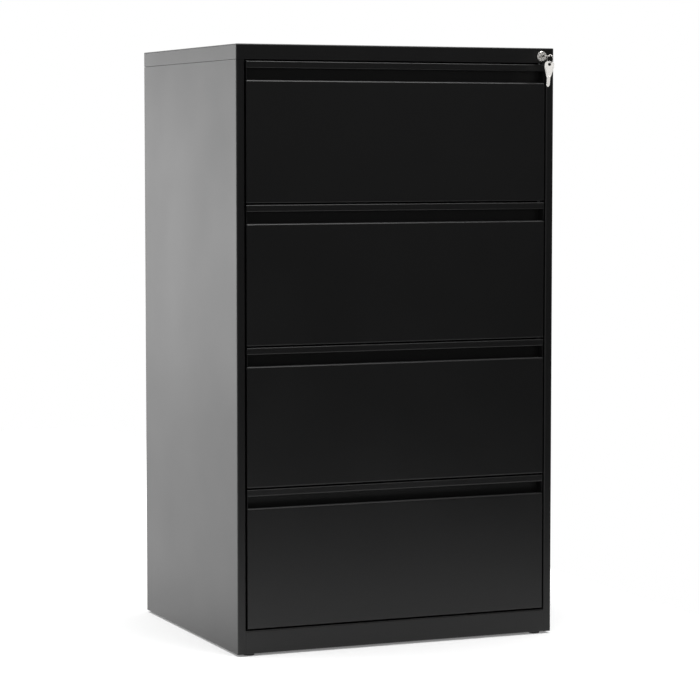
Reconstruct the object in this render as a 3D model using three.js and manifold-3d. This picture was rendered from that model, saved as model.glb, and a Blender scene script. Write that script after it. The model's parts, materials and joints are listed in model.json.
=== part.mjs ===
// A black four-drawer filing cabinet in folded sheet steel, in millimetres.
// Z is up and the drawers open towards -Y.
// The origin is on the floor, under the middle of the box around it all.
import * as THREE from "three";
import { mergeVertices } from "three/addons/utils/BufferGeometryUtils.js";
import Module from "manifold-3d";

// Case
const CASE_WIDTH = 756;
const CASE_DEPTH = 620;
const CASE_HEIGHT = 1315;
const CAP_HEIGHT = 33;
const BASE_RAIL_HEIGHT = 51;
const BASE_RAIL_DEPTH = 25;
const POST_WIDTH = 18.6;
const POST_RETURN = 12;
const REAR_FLANGE = 20;
const UPRIGHT_SETBACK = 14;
const UPRIGHT_WIDTH = 40;
const UPRIGHT_TOP_GAP = 4;
const PAN_RAISE = 9;

// Sheet and fits
const SHEET = 1;
const BEND_RADIUS = 2;
const BEND_STEPS = 4; // flats in a fold that shows
const HIDDEN_STEPS = 2; // flats in a fold inside the case
const ARC_STEPS = 5; // flats in a quarter of a rounded outline
const ROUND_STEPS = 32; // flats round the lock and the feet
const SMALL_STEPS = 16; // flats round pins, bosses and small holes
const SEAM = 0.3; // between pieces that are fixed to each other
const CAP_SEAM = 0.8; // the shadow line under the top panel
const RUNNING_GAP = 0.5; // between pieces that slide or turn past each other
const CUT_PAST = 1; // how far a cut runs past the faces that it opens

// Drawer fronts, numbered from the top
const DRAWER_COUNT = 4;
const ROW_GAP = 3;
const SIDE_GAP = 4;
const FRONT_DEPTH = 28;
const FRONT_RETURN = 34; // the flange behind the bottom edge, which the tray is fixed to
const PULL_BAND = 15.5;
const PULL_OPENING = 25;
const PULL_DEPTH = 25;
const PULL_CURVE = 8;
const PULL_FLOOR_DROP = 18;
const LIP_DEPTH = 9;
const LIP_RETURN = 8;
const LIP_CURVE = 4; // inside radius of the fold along the lip
const END_CORNER = 1.5; // cut off the folded corners of the end plates

// Drawer trays
const TRAY_FLOOR_RAISE = 6;
const TRAY_TOP_DROP = 53;
const TRAY_BACK_SPACE = 45;
const HEM_HEIGHT = 12;
const RAIL_WIDTH = 14;
const RAIL_HEIGHT = 22;

// Telescopic slides
const SLIDE_HEIGHT = 46;
const SLIDE_WIDTH = 12.7;
const SLIDE_SHEET = 1.2;
const SLIDE_LIP = 4;
const SLIDE_BEND = 1;
const SLIDE_SETBACK = 30;
const SLIDE_BACK_SPACE = 40;
const SLIDE_RAISE = 70; // from the bottom of the drawer front to the middle of the slide
const MIDDLE_INSET = 6; // the middle member is this much shorter at each end

// Lock
const LOCK_FROM_SIDE = 33;
const LOCK_FROM_TOP = 18.5;
const BEZEL_DIAMETER = 23;
const BEZEL_HEIGHT = 9;
const BEZEL_ROUND = 1.5; // radius of its front edge
const LOCK_DIAMETER = 17;
const LOCK_LENGTH = 28;
const NUT_ACROSS = 22;
const NUT_HEIGHT = 4;
const PLUG_DIAMETER = 12;
const CAM_DIAMETER = 23;
const CAM_THICKNESS = 3;
const CRANK_RADIUS = 8;
const CRANK_REST = 225; // degrees anticlockwise from the right, seen from the front
const PIN_DIAMETER = 4;

// Locking bar, which the crank lifts to lock the drawers
const BAR_WIDTH = 14;
const BAR_THICKNESS = 3;
const YOKE_WALL = 4;
const YOKE_PLAY = 0.7;
const HOOK_HEIGHT = 16;
const HOOK_REACH = 5.5;
const STRIKER_CLEAR = 2; // above the hook of an unlocked drawer
const STRIKER_PLAY = 4.5; // how far a locked drawer still moves
const STRIKER_HEIGHT = 14;
const STRIKER_REACH = 2; // stops this far short of the edge of the opening
const STRIKER_THICKNESS = 2.5;

// Key and ring
const KEY_LENGTH = 56;
const KEY_BOW_LENGTH = 35;
const KEY_BOW_WIDTH = 21;
const KEY_BOW_CORNER = 7;
const KEY_BOW_STRAIGHT = 13;
const KEY_NECK_WIDTH = 9;
const KEY_BLADE_WIDTH = 7.5;
const KEY_TIP_WIDTH = 3;
const KEY_THICKNESS = 2;
const KEY_HOLE_DIAMETER = 7;
const KEY_HOLE_INSET = 6.5;
const KEY_CUTS = 4;
const KEY_CUT_DEPTH = 1.3;
const RING_DIAMETER = 18.2; // to the middle of the wire
const RING_WIRE = 1.6;
const RING_WIRE_STEPS = 6;
const RING_TURN = 15; // degrees about Z, from lying along the key
const RING_SHIFT = 1.4; // to the right of the middle of the key, so that the turned ring clears the hole

// Levelling feet
const FOOT_STAND = 5; // the case stands this far above the floor
const FOOT_DIAMETER = 25;
const FOOT_CHAMFER = 1;
const FOOT_FROM_SIDE = 32;
const FOOT_FROM_EDGE = 20;
const STEM_DIAMETER = 8;
const STEM_TOP = 34;
const BOSS_DIAMETER = 16;
const BOSS_HEIGHT = 6;

// Where the main faces lie, with y = 0 on the front of the case
const CASE_BOTTOM = FOOT_STAND;
const CASE_TOP = CASE_BOTTOM + CASE_HEIGHT;
const CAP_BOTTOM = CASE_TOP - CAP_HEIGHT;
const OPENING_BOTTOM = CASE_BOTTOM + BASE_RAIL_HEIGHT;
const PAN_TOP = CASE_BOTTOM + PAN_RAISE;
const CASE_EDGE = CASE_WIDTH / 2;
const OPENING_EDGE = CASE_EDGE - POST_WIDTH;
const INSIDE_EDGE = CASE_EDGE - SHEET - SEAM;
const PANEL_EDGE = INSIDE_EDGE - BEND_RADIUS; // clears the folds in the corners of the case
const FRONT_EDGE = OPENING_EDGE - SIDE_GAP;
const SLIDE_EDGE = OPENING_EDGE - SEAM;
const TRAY_EDGE = SLIDE_EDGE - SLIDE_WIDTH - SEAM;
const TRAY_FRONT = FRONT_DEPTH + SEAM;
const TRAY_BACK = CASE_DEPTH - TRAY_BACK_SPACE;
const SLIDE_BACK = CASE_DEPTH - SLIDE_BACK_SPACE;
const OPENING_HEIGHT = CAP_BOTTOM - OPENING_BOTTOM;
const FRONT_HEIGHT = (OPENING_HEIGHT - (DRAWER_COUNT + 1) * ROW_GAP) / DRAWER_COUNT;
const LOCK_X = CASE_EDGE - LOCK_FROM_SIDE;
const LOCK_Z = CASE_TOP - LOCK_FROM_TOP;
const CAM_FRONT = LOCK_LENGTH + RUNNING_GAP;
const CAM_BACK = CAM_FRONT + CAM_THICKNESS;
const BAR_FRONT = CAM_BACK + RUNNING_GAP;
const BAR_BACK = BAR_FRONT + BAR_THICKNESS;
const BAR_EDGE = OPENING_EDGE + SHEET + RUNNING_GAP;
const HOOK_BACK = BAR_FRONT - SEAM;
const HOOK_FRONT = HOOK_BACK - BAR_THICKNESS;
const BAR_LIFT = -2 * CRANK_RADIUS * Math.sin(THREE.MathUtils.degToRad(CRANK_REST));
const KEY_END = -BEZEL_HEIGHT - RUNNING_GAP - KEY_BOW_LENGTH;

// The ring hangs over the bridge of metal between the key's hole and its end
const BRIDGE = KEY_HOLE_INSET - Math.sqrt((KEY_HOLE_DIAMETER / 2) ** 2 - RING_SHIFT ** 2);
const RING_ANGLE = THREE.MathUtils.degToRad(RING_TURN);
const RING_INSIDE = (RING_DIAMETER - RING_WIRE) / 2;
const RING_DROP = Math.sqrt(RING_INSIDE ** 2 - (BRIDGE / 2 / Math.cos(RING_ANGLE)) ** 2);
const RING_Y = KEY_END + BRIDGE / 2;
const RING_Z = LOCK_Z + KEY_THICKNESS / 2 + SEAM - RING_DROP;
const RING_FRONT = RING_Y - (RING_DIAMETER + RING_WIRE) / 2;

const wasm = await Module();
wasm.setup();

// Solids and outlines

function solidOf(geometry) {
  const loose = geometry.index ? geometry.toNonIndexed() : geometry;
  const bare = new THREE.BufferGeometry();
  bare.setAttribute("position", loose.getAttribute("position"));
  const welded = mergeVertices(bare, 1e-4);
  return new wasm.Manifold(
    new wasm.Mesh({
      numProp: 3,
      vertProperties: welded.attributes.position.array,
      triVerts: new Uint32Array(welded.index.array),
    }),
  );
}

function geometryOf(solid) {
  const mesh = solid.getMesh();
  const geometry = new THREE.BufferGeometry();
  geometry.setAttribute("position", new THREE.BufferAttribute(mesh.vertProperties, 3));
  geometry.setIndex(new THREE.BufferAttribute(mesh.triVerts, 1));
  return geometry;
}

function join(...geometries) {
  return geometryOf(geometries.map(solidOf).reduce((whole, piece) => whole.add(piece)));
}

function cut(geometry, ...tools) {
  return geometryOf(tools.map(solidOf).reduce((whole, tool) => whole.subtract(tool), solidOf(geometry)));
}

function common(...geometries) {
  return geometryOf(geometries.map(solidOf).reduce((whole, piece) => whole.intersect(piece)));
}

function box([x0, x1], [y0, y1], [z0, z1]) {
  const geometry = new THREE.BoxGeometry(x1 - x0, y1 - y0, z1 - z0);
  return geometry.translate((x0 + x1) / 2, (y0 + y1) / 2, (z0 + z1) / 2);
}

// Sweeps an outline along an axis. The outline lies in the other two axes, taken in the order X, Y, Z.
function sweep(outline, axis, [from, to]) {
  const shape = Array.isArray(outline) ? new THREE.Shape(outline) : outline;
  const options = { depth: to - from, bevelEnabled: false, curveSegments: ARC_STEPS };
  const geometry = new THREE.ExtrudeGeometry(shape, options);
  const x = new THREE.Vector3(1, 0, 0);
  const y = new THREE.Vector3(0, 1, 0);
  const z = new THREE.Vector3(0, 0, 1);
  const place = new THREE.Matrix4();
  if (axis === "x") place.makeBasis(y, z, x).setPosition(from, 0, 0);
  if (axis === "y") place.makeBasis(x, z, y.negate()).setPosition(0, to, 0);
  if (axis === "z") place.setPosition(0, 0, from);
  return geometry.applyMatrix4(place);
}

// The outline of a folded strip of sheet. The path runs along one face and the sheet lies to its left.
// A third number on a corner of the path is the inside radius of that fold.
function foldedStrip(path, steps, thickness = SHEET, radius = BEND_RADIUS) {
  const corners = path.map(([a, b]) => new THREE.Vector2(a, b));
  const heading = (i) => corners[i + 1].clone().sub(corners[i]).normalize();
  const leftOf = (way) => new THREE.Vector2(-way.y, way.x);
  const last = corners.length - 1;
  const near = [corners[0]];
  const far = [corners[0].clone().addScaledVector(leftOf(heading(0)), thickness)];
  for (let i = 1; i < last; i++) {
    const into = heading(i - 1);
    const out = heading(i);
    const turn = Math.atan2(into.cross(out), into.dot(out));
    const inside = path[i][2] ?? radius;
    const nearRadius = turn > 0 ? inside + thickness : inside;
    const farRadius = nearRadius - Math.sign(turn) * thickness;
    const toCentre = leftOf(into).multiplyScalar(Math.sign(turn));
    const start = corners[i].clone().addScaledVector(into, -nearRadius * Math.tan(Math.abs(turn) / 2));
    const centre = start.addScaledVector(toCentre, nearRadius);
    for (let step = 0; step <= steps; step++) {
      const spoke = toCentre.clone().negate().rotateAround(new THREE.Vector2(), (turn * step) / steps);
      near.push(centre.clone().addScaledVector(spoke, nearRadius));
      far.push(centre.clone().addScaledVector(spoke, farRadius));
    }
  }
  near.push(corners[last]);
  far.push(corners[last].clone().addScaledVector(leftOf(heading(last - 1)), thickness));
  return [...near, ...far.reverse()];
}

// A rectangle whose corners are rounded, or only its upper two.
function roundedRectangle([a0, a1], [b0, b1], radius, lowerRadius = radius) {
  const shape = new THREE.Shape();
  const corner = (a, b, size, from) => {
    if (size > 0) shape.absarc(a, b, size, from, from + Math.PI / 2);
  };
  if (lowerRadius === 0) shape.moveTo(a0, b0).lineTo(a1, b0);
  corner(a1 - lowerRadius, b0 + lowerRadius, lowerRadius, -Math.PI / 2);
  corner(a1 - radius, b1 - radius, radius, 0);
  corner(a0 + radius, b1 - radius, radius, Math.PI / 2);
  corner(a0 + lowerRadius, b0 + lowerRadius, lowerRadius, Math.PI);
  return shape;
}

// Turns a profile of [radius, y] points about the line along Y through x and z.
function turned(profile, segments, x = 0, z = 0) {
  const points = profile.map(([radius, y]) => new THREE.Vector2(radius, y));
  return new THREE.LatheGeometry(points, segments).translate(x, 0, z);
}

function rod(diameter, [y0, y1], x, z, segments = ROUND_STEPS) {
  return turned([[0, y0], [diameter / 2, y0], [diameter / 2, y1], [0, y1]], segments, x, z);
}

// Stands a piece made along Y upright, so that its heights along Y become heights along Z.
function stand(geometry) {
  return geometry.rotateX(Math.PI / 2);
}

// Case

// A lid with rounded edges, open underneath.
function lidBlock(inset) {
  const edge = CASE_EDGE - inset;
  const across = [-edge, edge];
  const along = [inset, CASE_DEPTH - inset];
  const high = [CAP_BOTTOM - inset, CASE_TOP - inset];
  const radius = BEND_RADIUS + SHEET - inset;
  return common(
    sweep(roundedRectangle(across, high, radius, 0), "y", along),
    sweep(roundedRectangle(along, high, radius, 0), "x", across),
    sweep(roundedRectangle(across, along, radius), "z", high),
  );
}

function topPanel() {
  const lid = cut(lidBlock(0), lidBlock(SHEET));
  const edge = CASE_EDGE - SHEET / 2;
  const lowerReturn = box([-edge, edge], [SHEET / 2, POST_RETURN], [CAP_BOTTOM, CAP_BOTTOM + SHEET]);
  const lockHole = rod(LOCK_DIAMETER + 2 * SEAM, [-CUT_PAST, SHEET + CUT_PAST], LOCK_X, LOCK_Z);
  return cut(join(lid, lowerReturn), lockHole);
}

// The post in front is folded back beside the drawers, and beside the base rail it is flat.
function sidePanel() {
  const flat = [
    [OPENING_EDGE, 0],
    [CASE_EDGE, 0],
    [CASE_EDGE, CASE_DEPTH],
    [CASE_EDGE - REAR_FLANGE, CASE_DEPTH],
  ];
  const folded = [[OPENING_EDGE, POST_RETURN], ...flat];
  const top = CAP_BOTTOM - CAP_SEAM;
  const flangeEnd = UPRIGHT_SETBACK + UPRIGHT_WIDTH;
  const topFlange = box(
    [OPENING_EDGE, CASE_EDGE - SHEET / 2],
    [flangeEnd, CASE_DEPTH - flangeEnd],
    [top - SHEET, top],
  );
  return join(
    sweep(foldedStrip(flat, BEND_STEPS), "z", [CASE_BOTTOM, OPENING_BOTTOM]),
    sweep(foldedStrip(folded, BEND_STEPS), "z", [OPENING_BOTTOM, top]),
    topFlange,
  );
}

function backPanel() {
  const back = CASE_DEPTH - SHEET - SEAM;
  const top = CASE_TOP - CAP_HEIGHT / 2;
  return box([-PANEL_EDGE, PANEL_EDGE], [back - SHEET, back], [PAN_TOP + SEAM, top]);
}

function bottomPanel() {
  const front = POST_RETURN + SEAM;
  const back = CASE_DEPTH - SHEET - SEAM;
  const under = PAN_TOP - SHEET;
  const outer = box([-PANEL_EDGE, PANEL_EDGE], [front, back], [CASE_BOTTOM + SHEET + SEAM, PAN_TOP]);
  const inner = box(
    [-PANEL_EDGE + SHEET, PANEL_EDGE - SHEET],
    [front + SHEET, back - SHEET],
    [CASE_BOTTOM - SHEET, under],
  );
  const bosses = [];
  const holes = [];
  for (const [x, y] of Object.values(footPlaces())) {
    const boss = stand(rod(BOSS_DIAMETER, [under - BOSS_HEIGHT, under + SHEET / 2], 0, 0, SMALL_STEPS));
    const hole = stand(rod(STEM_DIAMETER + 2 * SEAM, [0, CASE_TOP], 0, 0, SMALL_STEPS));
    bosses.push(boss.translate(x, y, 0));
    holes.push(hole.translate(x, y, 0));
  }
  return cut(join(cut(outer, inner), ...bosses), ...holes);
}

function baseRail() {
  const outline = foldedStrip([
    [BASE_RAIL_DEPTH, OPENING_BOTTOM - POST_RETURN],
    [BASE_RAIL_DEPTH, OPENING_BOTTOM],
    [0, OPENING_BOTTOM],
    [0, CASE_BOTTOM],
    [POST_RETURN, CASE_BOTTOM],
  ], BEND_STEPS);
  const edge = OPENING_EDGE - SEAM;
  return sweep(outline, "x", [-edge, edge]);
}

function uprightChannel(front) {
  const outline = foldedStrip([
    [INSIDE_EDGE, front + UPRIGHT_WIDTH],
    [OPENING_EDGE, front + UPRIGHT_WIDTH],
    [OPENING_EDGE, front],
    [INSIDE_EDGE, front],
  ], HIDDEN_STEPS);
  return sweep(outline, "z", [PAN_TOP + SEAM, CAP_BOTTOM - UPRIGHT_TOP_GAP]);
}

// The height of a drawer's hook at rest, just below the striker at the bottom of its tray.
function hookBottom({ bottom }) {
  return bottom + TRAY_FLOOR_RAISE - STRIKER_CLEAR - HOOK_HEIGHT;
}

function hookSlot(drawer) {
  const low = hookBottom(drawer);
  return box(
    [OPENING_EDGE - CUT_PAST, OPENING_EDGE + SHEET + CUT_PAST],
    [HOOK_FRONT - RUNNING_GAP, HOOK_BACK + RUNNING_GAP],
    [low - RUNNING_GAP, low + HOOK_HEIGHT + BAR_LIFT + RUNNING_GAP],
  );
}

function footPlaces() {
  const x = CASE_EDGE - FOOT_FROM_SIDE;
  return {
    front_left: [-x, FOOT_FROM_EDGE],
    front_right: [x, FOOT_FROM_EDGE],
    rear_left: [-x, CASE_DEPTH - FOOT_FROM_EDGE],
    rear_right: [x, CASE_DEPTH - FOOT_FROM_EDGE],
  };
}

function foot([x, y]) {
  const radius = FOOT_DIAMETER / 2;
  const top = FOOT_STAND - RUNNING_GAP;
  const profile = [
    [0, 0],
    [radius - FOOT_CHAMFER, 0],
    [radius, FOOT_CHAMFER],
    [radius, top - FOOT_CHAMFER],
    [radius - FOOT_CHAMFER, top],
    [STEM_DIAMETER / 2, top],
    [STEM_DIAMETER / 2, STEM_TOP],
    [0, STEM_TOP],
  ];
  return stand(turned(profile, ROUND_STEPS)).translate(x, y, 0);
}

// Drawers

function drawerFront({ bottom }) {
  const top = bottom + FRONT_HEIGHT;
  const ceiling = top - PULL_BAND;
  const lip = ceiling - PULL_OPENING;
  const panel = foldedStrip([
    [LIP_DEPTH, lip - LIP_RETURN],
    [LIP_DEPTH, lip],
    [0, lip, LIP_CURVE],
    [0, bottom],
    [FRONT_DEPTH, bottom],
    [FRONT_DEPTH, bottom + FRONT_RETURN],
  ], BEND_STEPS);
  const band = foldedStrip([
    [FRONT_DEPTH, top],
    [0, top],
    [0, ceiling],
    [LIP_DEPTH, ceiling],
    [LIP_DEPTH, ceiling + LIP_RETURN],
  ], BEND_STEPS);
  const pull = foldedStrip([
    [PULL_DEPTH, top - SHEET / 2],
    [PULL_DEPTH, lip - PULL_FLOOR_DROP, PULL_CURVE],
    [SHEET / 2, lip - PULL_FLOOR_DROP],
  ], BEND_STEPS);
  const across = [-FRONT_EDGE, FRONT_EDGE];
  const endFace = FRONT_EDGE - SEAM;
  const end = endPlate([bottom, top]);
  return join(
    sweep(panel, "x", across),
    sweep(band, "x", across),
    sweep(pull, "x", across),
    sweep(end, "x", [-endFace, SHEET - endFace]),
    sweep(end, "x", [endFace - SHEET, endFace]),
  );
}

// Closes one end of a drawer front. Its edges lie in the middle of the sheet, with the corners cut off.
function endPlate([bottom, top]) {
  const half = SHEET / 2;
  const corner = half + END_CORNER;
  const back = FRONT_DEPTH - half;
  const points = [
    [FRONT_DEPTH - corner, bottom + half],
    [back, bottom + corner],
    [back, top - half],
    [corner, top - half],
    [half, top - corner],
    [half, bottom + corner],
    [corner, bottom + half],
  ];
  return points.map(([a, b]) => new THREE.Vector2(a, b));
}

function drawerTray({ bottom }) {
  const floor = bottom + TRAY_FLOOR_RAISE;
  const top = bottom + FRONT_HEIGHT - TRAY_TOP_DROP;
  const outer = box([-TRAY_EDGE, TRAY_EDGE], [TRAY_FRONT, TRAY_BACK], [floor, top]);
  const inner = box(
    [-TRAY_EDGE + SHEET, TRAY_EDGE - SHEET],
    [TRAY_FRONT + SHEET, TRAY_BACK - SHEET],
    [floor + SHEET, top + CUT_PAST],
  );
  const notchEdge = RAIL_WIDTH / 2 + SEAM;
  const notch = box(
    [-notchEdge, notchEdge],
    [TRAY_FRONT - CUT_PAST, TRAY_BACK + CUT_PAST],
    [top - RAIL_HEIGHT - SEAM, top + CUT_PAST],
  );
  const hems = [-1, 1].map((side) => {
    const reach = [side * (TRAY_EDGE - SHEET / 2), side * (TRAY_EDGE + SHEET)];
    return box(reach.sort((a, b) => a - b), [TRAY_FRONT, TRAY_BACK], [top - HEM_HEIGHT, top]);
  });
  const strikerFront = HOOK_BACK + STRIKER_PLAY;
  const striker = box(
    [TRAY_EDGE - SHEET / 2, OPENING_EDGE - STRIKER_REACH],
    [strikerFront, strikerFront + STRIKER_THICKNESS],
    [floor, floor + STRIKER_HEIGHT],
  );
  return join(cut(outer, inner, notch), ...hems, striker);
}

function hangingRail({ bottom }) {
  const top = bottom + FRONT_HEIGHT - TRAY_TOP_DROP;
  const low = top - RAIL_HEIGHT;
  const edge = RAIL_WIDTH / 2;
  const outline = foldedStrip([[-edge, top], [-edge, low], [edge, low], [edge, top]], HIDDEN_STEPS);
  return sweep(outline, "y", [TRAY_FRONT, TRAY_BACK]);
}

// The three members of a slide on the right, as [distance in from the case, height above its middle].
function slideOutlines() {
  const outerHalf = SLIDE_HEIGHT / 2;
  const middleHalf = outerHalf - SLIDE_LIP - RUNNING_GAP;
  const innerHalf = middleHalf - SLIDE_LIP - RUNNING_GAP;
  const outerMouth = SLIDE_WIDTH - SLIDE_SHEET;
  const middleMouth = outerMouth - RUNNING_GAP;
  const middleWeb = SLIDE_SHEET + RUNNING_GAP;
  const innerEdge = middleWeb + SLIDE_SHEET + RUNNING_GAP;
  const channel = (web, mouth, half) => [
    [mouth, half - SLIDE_LIP],
    [mouth, half],
    [web, half],
    [web, -half],
    [mouth, -half],
    [mouth, -half + SLIDE_LIP],
  ];
  const inner = [
    [innerEdge, -innerHalf],
    [SLIDE_WIDTH, -innerHalf],
    [SLIDE_WIDTH, innerHalf],
    [innerEdge, innerHalf],
  ];
  return {
    outer: channel(0, outerMouth, outerHalf),
    middle: channel(middleWeb, middleMouth, middleHalf),
    inner,
  };
}

function slideMember({ bottom }, path, inset) {
  const height = bottom + SLIDE_RAISE;
  const outline = foldedStrip(path, HIDDEN_STEPS, SLIDE_SHEET, SLIDE_BEND);
  const placed = outline.map(({ x, y }) => new THREE.Vector2(SLIDE_EDGE - x, height + y));
  return sweep(placed, "y", [SLIDE_SETBACK + inset, SLIDE_BACK - inset]);
}

// Lock and key

// The barrel with its bezel in front of the top panel and its nut behind it.
function lockBody() {
  const bezel = BEZEL_DIAMETER / 2;
  const barrel = LOCK_DIAMETER / 2;
  const bore = PLUG_DIAMETER / 2 + SEAM;
  const edge = [];
  for (let step = 0; step <= BEND_STEPS; step++) {
    const angle = (Math.PI / 2) * (step / BEND_STEPS);
    const inset = BEZEL_ROUND * (1 - Math.sin(angle));
    const rise = BEZEL_ROUND * (1 - Math.cos(angle));
    edge.push([bezel - inset, rise - BEZEL_HEIGHT]);
  }
  const profile = [
    [bore, -BEZEL_HEIGHT],
    ...edge,
    [bezel, -SEAM],
    [barrel, -SEAM],
    [barrel, LOCK_LENGTH],
    [bore, LOCK_LENGTH],
    [bore, -BEZEL_HEIGHT],
  ];
  const nutFront = SHEET + SEAM;
  const nutBack = nutFront + NUT_HEIGHT;
  const sides = 6;
  const acrossCorners = NUT_ACROSS / Math.cos(Math.PI / sides);
  const hexagon = rod(acrossCorners, [nutFront, nutBack], LOCK_X, LOCK_Z, sides);
  const holeDiameter = barrel + bore; // ends in the middle of the barrel's wall
  const hole = rod(holeDiameter, [nutFront - CUT_PAST, nutBack + CUT_PAST], LOCK_X, LOCK_Z);
  return join(turned(profile, ROUND_STEPS, LOCK_X, LOCK_Z), cut(hexagon, hole));
}

function crankPlace() {
  const angle = THREE.MathUtils.degToRad(CRANK_REST);
  return [LOCK_X + CRANK_RADIUS * Math.cos(angle), LOCK_Z + CRANK_RADIUS * Math.sin(angle)];
}

// The plug with its keyway, and behind it the cam with the crank pin.
function lockPlug() {
  const radius = PLUG_DIAMETER / 2;
  const cam = CAM_DIAMETER / 2;
  const profile = [
    [0, -BEZEL_HEIGHT],
    [radius, -BEZEL_HEIGHT],
    [radius, CAM_FRONT],
    [cam, CAM_FRONT],
    [cam, CAM_BACK],
    [0, CAM_BACK],
  ];
  const halfWidth = KEY_BLADE_WIDTH / 2 + SEAM;
  const halfHeight = KEY_THICKNESS / 2 + SEAM;
  const keyway = box(
    [LOCK_X - halfWidth, LOCK_X + halfWidth],
    [-BEZEL_HEIGHT - CUT_PAST, KEY_END + KEY_LENGTH + RUNNING_GAP],
    [LOCK_Z - halfHeight, LOCK_Z + halfHeight],
  );
  const pin = rod(PIN_DIAMETER, [CAM_BACK - SHEET, BAR_BACK + RUNNING_GAP], ...crankPlace(), SMALL_STEPS);
  return join(cut(turned(profile, ROUND_STEPS, LOCK_X, LOCK_Z), keyway), pin);
}

// The locking bar is a strip inside the right front upright, with a yoke on top that the crank pin lifts
// and a hook on its front for each drawer.
function yokeHeights() {
  const [, pinHeight] = crankPlace();
  const half = PIN_DIAMETER / 2 + RUNNING_GAP + YOKE_WALL;
  return [pinHeight - half, pinHeight + half];
}

function lockingBar() {
  const [yokeBottom] = yokeHeights();
  return box([BAR_EDGE, BAR_EDGE + BAR_WIDTH], [BAR_FRONT, BAR_BACK], [PAN_TOP + SEAM, yokeBottom - SEAM]);
}

function lockingYoke() {
  const [bottom, top] = yokeHeights();
  const pinHalf = PIN_DIAMETER / 2;
  const slotLeft = LOCK_X - CRANK_RADIUS - pinHalf - YOKE_PLAY;
  const slotRight = crankPlace()[0] + pinHalf + YOKE_PLAY;
  const plate = box([slotLeft - YOKE_WALL, BAR_EDGE + BAR_WIDTH], [BAR_FRONT, BAR_BACK], [bottom, top]);
  const slot = box(
    [slotLeft, slotRight],
    [BAR_FRONT - CUT_PAST, BAR_BACK + CUT_PAST],
    [bottom + YOKE_WALL, top - YOKE_WALL],
  );
  return cut(plate, slot);
}

function lockingHook(drawer) {
  const low = hookBottom(drawer);
  const across = [OPENING_EDGE - HOOK_REACH, BAR_EDGE + BAR_WIDTH];
  return box(across, [HOOK_FRONT, HOOK_BACK], [low, low + HOOK_HEIGHT]);
}

// A key as an outline of [distance from the end of the bow, distance from the middle line].
function keyOutline() {
  const bow = KEY_BOW_WIDTH / 2;
  const neck = KEY_NECK_WIDTH / 2;
  const blade = KEY_BLADE_WIDTH / 2;
  const tip = KEY_TIP_WIDTH / 2;
  const tipStart = KEY_LENGTH - KEY_BLADE_WIDTH / 2;
  const shape = new THREE.Shape();
  shape.moveTo(0, bow - KEY_BOW_CORNER);
  shape.absarc(KEY_BOW_CORNER, KEY_BOW_CORNER - bow, KEY_BOW_CORNER, Math.PI, 1.5 * Math.PI);
  shape.lineTo(KEY_BOW_STRAIGHT, -bow);
  shape.lineTo(KEY_BOW_LENGTH, -neck);
  shape.lineTo(KEY_BOW_LENGTH, -blade);
  const pitch = (tipStart - KEY_BOW_LENGTH) / (KEY_CUTS + 1);
  for (let i = 1; i <= KEY_CUTS; i++) {
    const middle = KEY_BOW_LENGTH + i * pitch;
    shape.lineTo(middle - pitch / 3, -blade);
    shape.lineTo(middle, KEY_CUT_DEPTH - blade);
    shape.lineTo(middle + pitch / 3, -blade);
  }
  shape.lineTo(tipStart, -blade);
  shape.lineTo(KEY_LENGTH, -tip);
  shape.lineTo(KEY_LENGTH, tip);
  shape.lineTo(tipStart, blade);
  shape.lineTo(KEY_BOW_LENGTH, blade);
  shape.lineTo(KEY_BOW_LENGTH, neck);
  shape.lineTo(KEY_BOW_STRAIGHT, bow);
  shape.absarc(KEY_BOW_CORNER, bow - KEY_BOW_CORNER, KEY_BOW_CORNER, Math.PI / 2, Math.PI);
  const hole = new THREE.Path();
  hole.absarc(KEY_HOLE_INSET, 0, KEY_HOLE_DIAMETER / 2, 0, 2 * Math.PI, true);
  shape.holes.push(hole);
  return shape;
}

function insertedKey() {
  const plate = sweep(keyOutline(), "x", [-KEY_THICKNESS / 2, KEY_THICKNESS / 2]);
  return plate.rotateY(Math.PI / 2).translate(LOCK_X, KEY_END, LOCK_Z);
}

function keyRing() {
  const ring = new THREE.TorusGeometry(RING_DIAMETER / 2, RING_WIRE / 2, RING_WIRE_STEPS, ROUND_STEPS);
  ring.rotateX(Math.PI / 2).rotateZ(RING_ANGLE - Math.PI / 2);
  return ring.translate(LOCK_X + RING_SHIFT, RING_Y, RING_Z);
}

// Assembly

const PAINT = { color: 0x1b1b1d, roughness: 0.42, metalness: 0.1 };
const ZINC = { color: 0xb4b8bb, roughness: 0.35, metalness: 0.9 };
const NICKEL = { color: 0xc9c6c0, roughness: 0.2, metalness: 1 };
const STEEL = { color: 0x8f9295, roughness: 0.4, metalness: 0.9 };
const PLASTIC = { color: 0x161616, roughness: 0.6, metalness: 0 };

const cabinet = new THREE.Group();
cabinet.position.y = -(CASE_DEPTH + RING_FRONT) / 2;

function add(name, geometry, finish) {
  const mesh = new THREE.Mesh(geometry, new THREE.MeshStandardMaterial(finish));
  mesh.name = name;
  cabinet.add(mesh);
  return mesh;
}

// Adds a piece drawn for the right of the cabinet and its mirror image on the left.
function addPair(name, geometry, finish) {
  add(`${name}_right`, geometry, finish);
  add(`${name}_left`, geometry, finish).scale.x = -1;
}

const drawers = [];
for (let number = 1; number <= DRAWER_COUNT; number++) {
  const rowsBelow = DRAWER_COUNT - number;
  const bottom = OPENING_BOTTOM + ROW_GAP + rowsBelow * (FRONT_HEIGHT + ROW_GAP);
  drawers.push({ name: `drawer_${number}`, bottom });
}

add("top_panel", topPanel(), PAINT);
addPair("side_panel", sidePanel(), PAINT);
add("back_panel", backPanel(), PAINT);
add("bottom_panel", bottomPanel(), PAINT);
add("base_rail", baseRail(), PAINT);

const frontUpright = uprightChannel(UPRIGHT_SETBACK);
add("upright_front_right", cut(frontUpright, ...drawers.map(hookSlot)), PAINT);
add("upright_front_left", frontUpright, PAINT).scale.x = -1;
addPair("upright_rear", uprightChannel(SLIDE_BACK - UPRIGHT_WIDTH), PAINT);

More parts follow.
